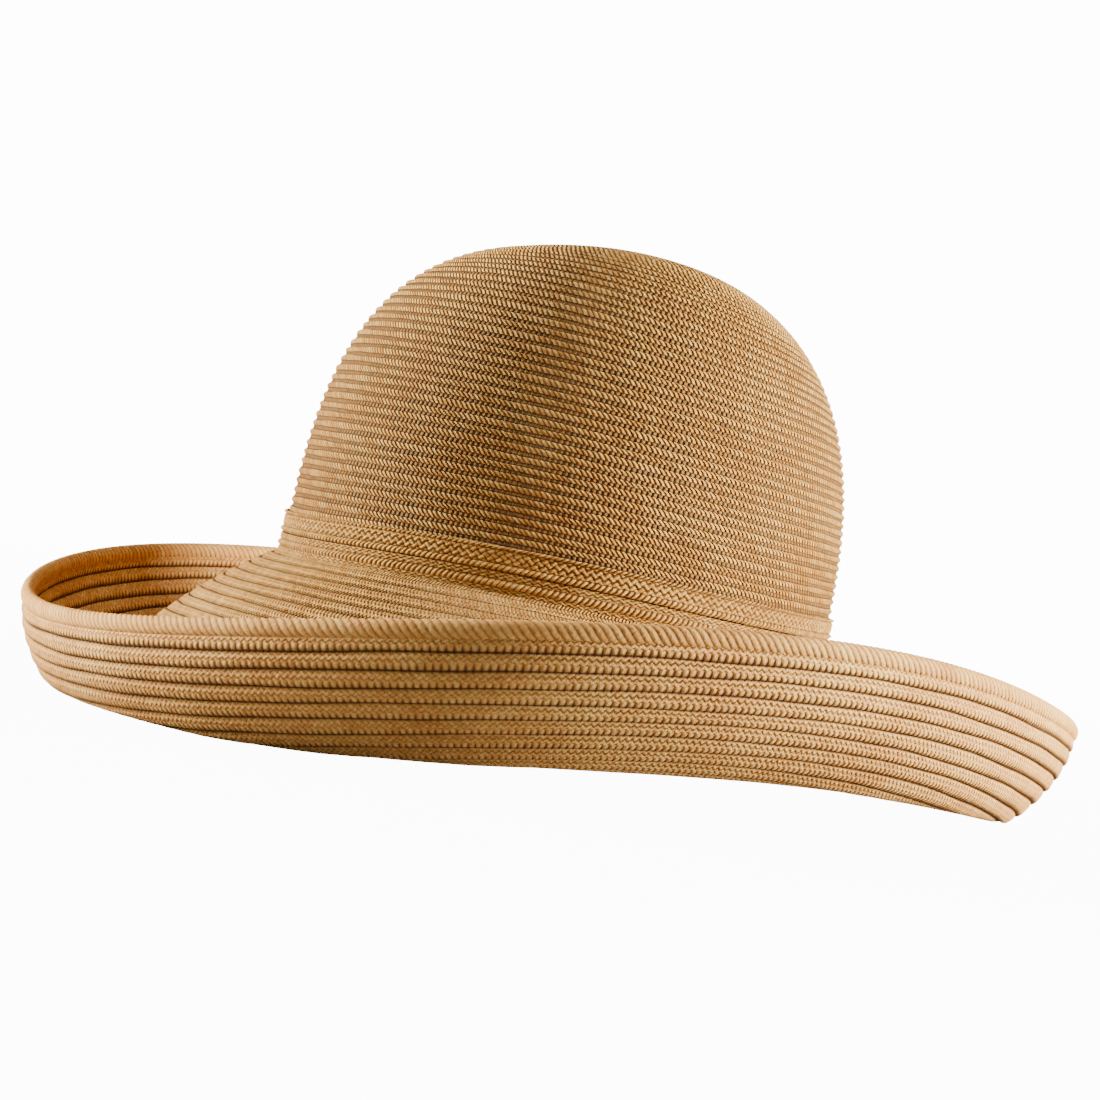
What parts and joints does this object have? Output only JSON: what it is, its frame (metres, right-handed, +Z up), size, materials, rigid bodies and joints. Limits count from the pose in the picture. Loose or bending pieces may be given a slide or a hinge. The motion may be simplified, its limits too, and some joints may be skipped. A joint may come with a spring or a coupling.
{
  "type": "kettle brim straw sun hat",
  "caption": "Sewn straw braid sun hat with a tall round crown, a herringbone braid band at its foot and a wide brim turned up all round like a kettle's side.",
  "frame": {"origin": "the middle of the hat's outline seen from above, on the surface that the hat stands on", "axes": "+Z up through the crown, -Y towards the front of the hat, +X towards its left side as worn"},
  "size_m": [0.375, 0.3784, 0.1772],
  "materials": {
    "straw_crown": "matte",
    "straw_band": "matte",
    "straw_brim": "matte",
    "straw_edge": "matte"
  },
  "bodies": {
    "root": {"crown": "straw_crown", "band_upper": "straw_band", "band_lower": "straw_band", "brim": "straw_brim", "rim_edge": "straw_edge"}
  },
  "joints": []
}
